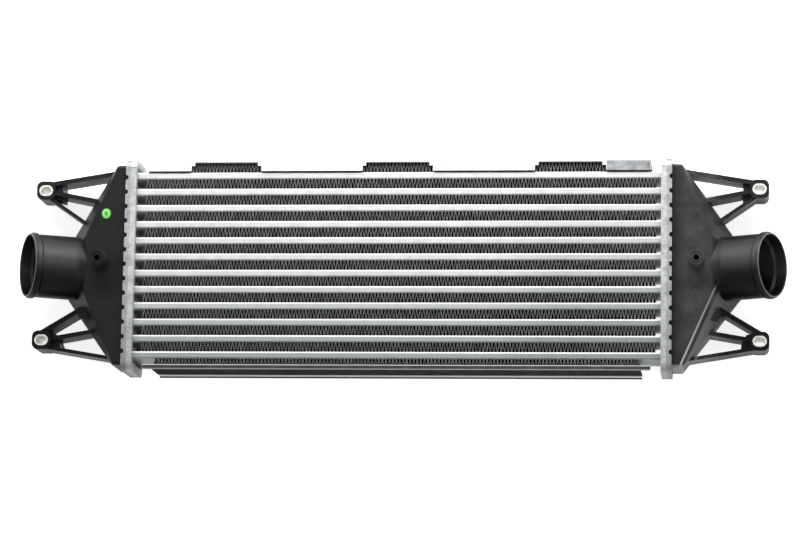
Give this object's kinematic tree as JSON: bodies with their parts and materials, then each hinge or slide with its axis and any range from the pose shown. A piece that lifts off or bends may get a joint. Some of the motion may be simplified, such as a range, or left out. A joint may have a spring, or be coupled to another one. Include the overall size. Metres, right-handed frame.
{
  "type": "intercooler",
  "caption": "Air-to-air charge cooler: brazed flat-tube and corrugated-fin core between two black moulded end tanks, each with an angled round hose neck and two sleeved mounting ears.",
  "frame": {"origin": "under the middle of the whole object's outline, on the floor plane at the headers' back rims", "axes": "+X along the core towards the right tank, +Y from the lower side plate to the upper one, +Z from the back to the front air face"},
  "size_m": [0.7754, 0.2306, 0.0857],
  "materials": {
    "tank_moulding": "moulded glass-filled nylon, fine satin grain",
    "header_plate": "pressed sheet, brazed, dull",
    "gasket_rubber": "moulded rubber",
    "sleeve_steel": "zinc-plated, dull",
    "tube_aluminium": "brazed sheet, satin",
    "fin_aluminium": "rolled foil, brazed",
    "turbulator_aluminium": "rolled foil, brazed",
    "side_plate_aluminium": "folded sheet, satin",
    "bracket_aluminium": "folded sheet, bright"
  },
  "bodies": {
    "root": {"bottom_side_plate": "side_plate_aluminium", "fin_01": "fin_aluminium", "fin_02": "fin_aluminium", "fin_03": "fin_aluminium", "fin_04": "fin_aluminium", "fin_05": "fin_aluminium", "fin_06": "fin_aluminium", "fin_07": "fin_aluminium", "fin_08": "fin_aluminium", "fin_09": "fin_aluminium", "fin_10": "fin_aluminium", "fin_11": "fin_aluminium", "fin_12": "fin_aluminium", "fin_13": "fin_aluminium", "left_gasket": "gasket_rubber", "left_header": "header_plate", "left_lower_sleeve": "sleeve_steel", "left_tank": "tank_moulding", "left_upper_sleeve": "sleeve_steel", "right_gasket": "gasket_rubber", "right_header": "header_plate", "right_lower_sleeve": "sleeve_steel", "right_tank": "tank_moulding", "right_upper_sleeve": "sleeve_steel", "top_bracket": "bracket_aluminium", "top_side_plate": "side_plate_aluminium", "tube_01": "tube_aluminium", "tube_02": "tube_aluminium", "tube_03": "tube_aluminium", "tube_04": "tube_aluminium", "tube_05": "tube_aluminium", "tube_06": "tube_aluminium", "tube_07": "tube_aluminium", "tube_08": "tube_aluminium", "tube_09": "tube_aluminium", "tube_10": "tube_aluminium", "tube_11": "tube_aluminium", "tube_12": "tube_aluminium", "turbulator_01": "turbulator_aluminium", "turbulator_02": "turbulator_aluminium", "turbulator_03": "turbulator_aluminium", "turbulator_04": "turbulator_aluminium", "turbulator_05": "turbulator_aluminium", "turbulator_06": "turbulator_aluminium", "turbulator_07": "turbulator_aluminium", "turbulator_08": "turbulator_aluminium", "turbulator_09": "turbulator_aluminium", "turbulator_10": "turbulator_aluminium", "turbulator_11": "turbulator_aluminium", "turbulator_12": "turbulator_aluminium"}
  },
  "joints": []
}
